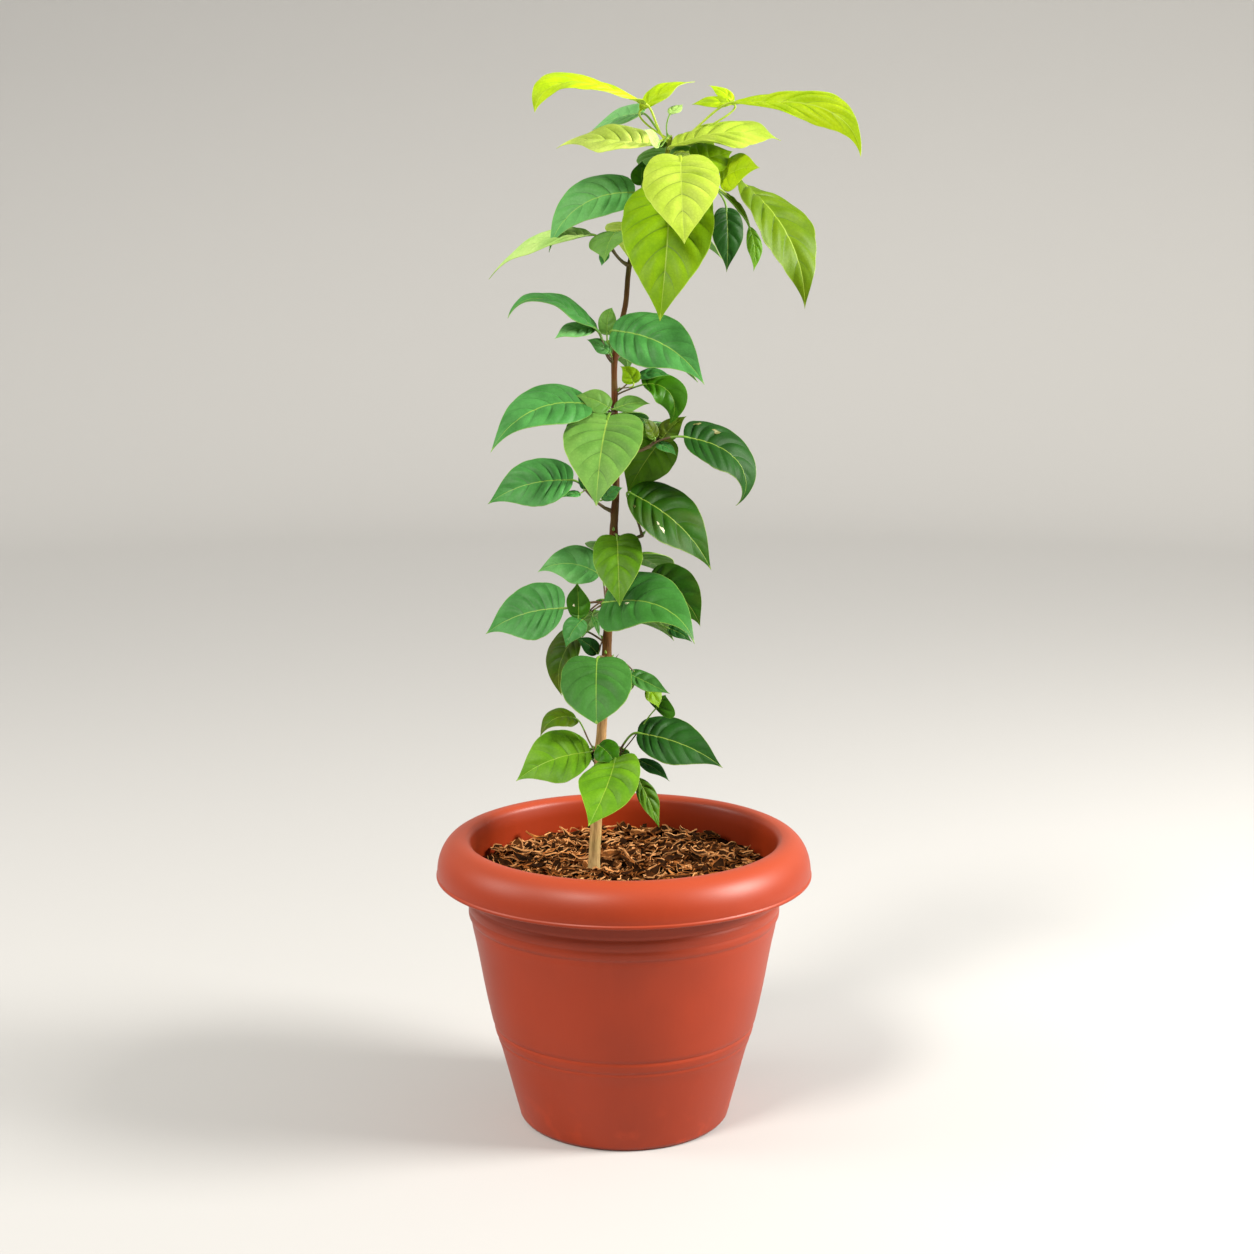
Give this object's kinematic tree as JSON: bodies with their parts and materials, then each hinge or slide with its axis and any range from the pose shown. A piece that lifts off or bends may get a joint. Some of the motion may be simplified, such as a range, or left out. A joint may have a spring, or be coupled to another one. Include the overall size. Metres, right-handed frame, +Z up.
{
  "type": "potted bael tree",
  "caption": "Young broad-leaved bael sapling with a slender leaning trunk and clustered pointed leaves, standing in bark mulch in a round terracotta-coloured pot with a rolled rim.",
  "frame": {"origin": "middle of the pot's flat underside, on the surface that it stands on", "axes": "+Z up along the pot's axis, -Y towards the side that the front leaves face, +X to the right seen from there"},
  "size_m": [0.3275, 0.3, 0.8233],
  "materials": {
    "pot": "satin moulded plastic, terracotta coloured, slightly dusty",
    "potting_mix": "loose shredded bark and husk, dry on top, dark and moist below",
    "trunk": "young bark, tan at the foot, reddish brown above and green at the tip",
    "lime_leaf": "young lime-green leaves, satin, with pale veins and thin brown-green stalks",
    "green_leaf": "mature mid-green leaves, satin, with sunken veins and paler undersides"
  },
  "bodies": {
    "root": {"pot": "pot", "potting_mix": "potting_mix", "trunk": "trunk", "shoot_low_left": "green_leaf", "shoot_low_front": "green_leaf", "shoot_low_right": "green_leaf", "shoot_second_left": "green_leaf", "shoot_second_front": "green_leaf", "shoot_second_right": "green_leaf", "shoot_third_left": "green_leaf", "shoot_third_front": "green_leaf", "shoot_third_right": "green_leaf", "shoot_fourth_front": "green_leaf", "shoot_fourth_right": "green_leaf", "shoot_fifth_left": "green_leaf", "shoot_sixth_front": "green_leaf", "shoot_sixth_right": "green_leaf", "shoot_seventh_right": "green_leaf", "shoot_eighth_left": "green_leaf", "shoot_eighth_front": "green_leaf", "shoot_ninth_left": "green_leaf", "shoot_tenth_left": "green_leaf", "shoot_tenth_front": "lime_leaf", "shoot_tenth_right": "lime_leaf", "shoot_crown_left": "lime_leaf", "shoot_crown_right": "lime_leaf", "shoot_back_1": "green_leaf", "shoot_back_2": "green_leaf", "shoot_back_3": "green_leaf", "shoot_back_4": "green_leaf", "shoot_back_5": "green_leaf", "shoot_back_6": "green_leaf", "shoot_back_7": "lime_leaf", "shoot_back_8": "lime_leaf"}
  },
  "joints": []
}
